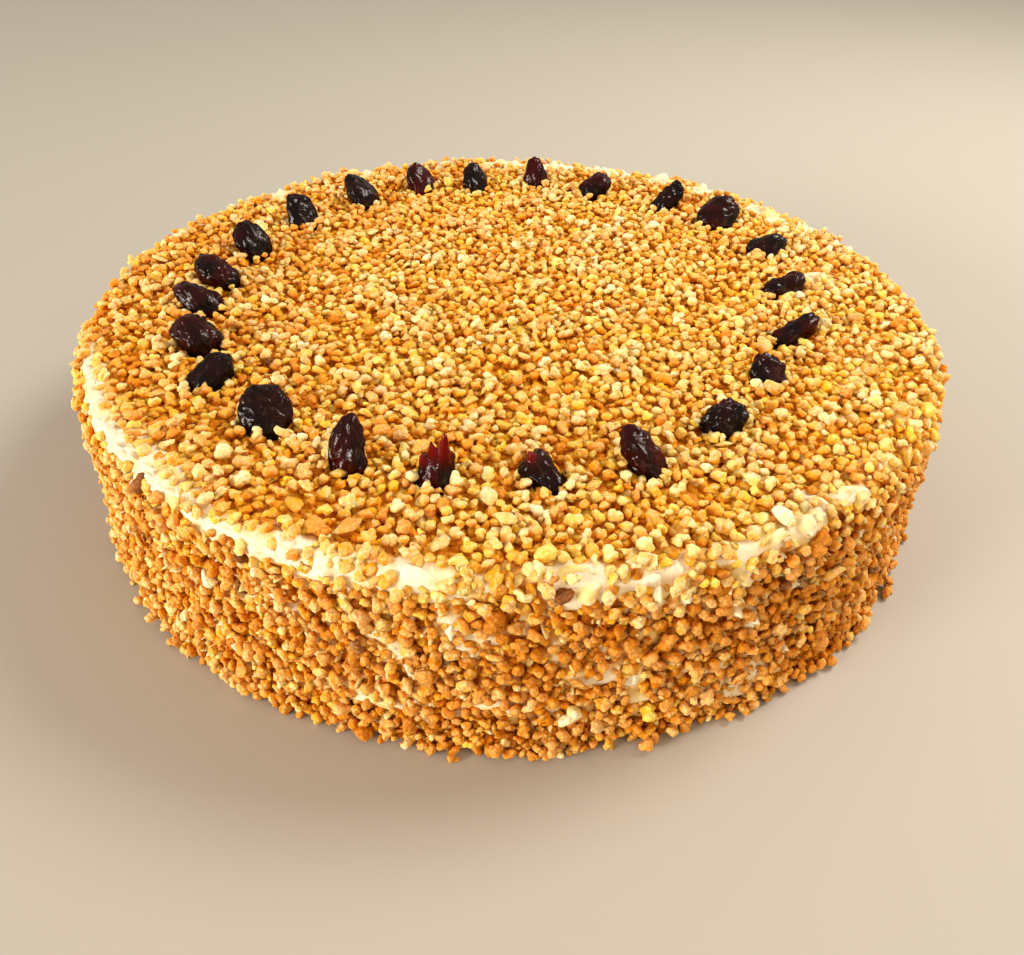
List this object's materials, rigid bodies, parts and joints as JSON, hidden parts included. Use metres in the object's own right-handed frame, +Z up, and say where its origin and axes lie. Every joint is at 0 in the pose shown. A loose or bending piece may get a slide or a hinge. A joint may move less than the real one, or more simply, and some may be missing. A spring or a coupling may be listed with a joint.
{
  "type": "frankfurt crown cake",
  "caption": "Round cake with a flat top, coated in buttercream and crumbs of nut brittle, with a ring of dried cherries set near the rim.",
  "frame": {"origin": "middle of the cake's flat base, on the surface that the cake stands on", "axes": "+Z up through the middle of the cake; -Y towards the viewer of the picture and +X to the viewer's right"},
  "size_m": [0.2752, 0.276, 0.0709],
  "materials": {
    "brittle_coat": "golden brown crumbs of caramelised nut, dull with a faint sheen",
    "buttercream": "ivory buttercream spread with a palette knife, soft and satin",
    "dried_cherry": "very dark red wrinkled fruit skin, glossy"
  },
  "bodies": {
    "root": {"cake": "brittle_coat", "dried_cherry_01": "dried_cherry", "dried_cherry_02": "dried_cherry", "dried_cherry_03": "dried_cherry", "dried_cherry_04": "dried_cherry", "dried_cherry_05": "dried_cherry", "dried_cherry_06": "dried_cherry", "dried_cherry_07": "dried_cherry", "dried_cherry_08": "dried_cherry", "dried_cherry_09": "dried_cherry", "dried_cherry_10": "dried_cherry", "dried_cherry_11": "dried_cherry", "dried_cherry_12": "dried_cherry", "dried_cherry_13": "dried_cherry", "dried_cherry_14": "dried_cherry", "dried_cherry_15": "dried_cherry", "dried_cherry_16": "dried_cherry", "dried_cherry_17": "dried_cherry", "dried_cherry_18": "dried_cherry", "dried_cherry_19": "dried_cherry", "dried_cherry_20": "dried_cherry", "dried_cherry_21": "dried_cherry", "dried_cherry_22": "dried_cherry", "dried_cherry_23": "dried_cherry"}
  },
  "joints": []
}
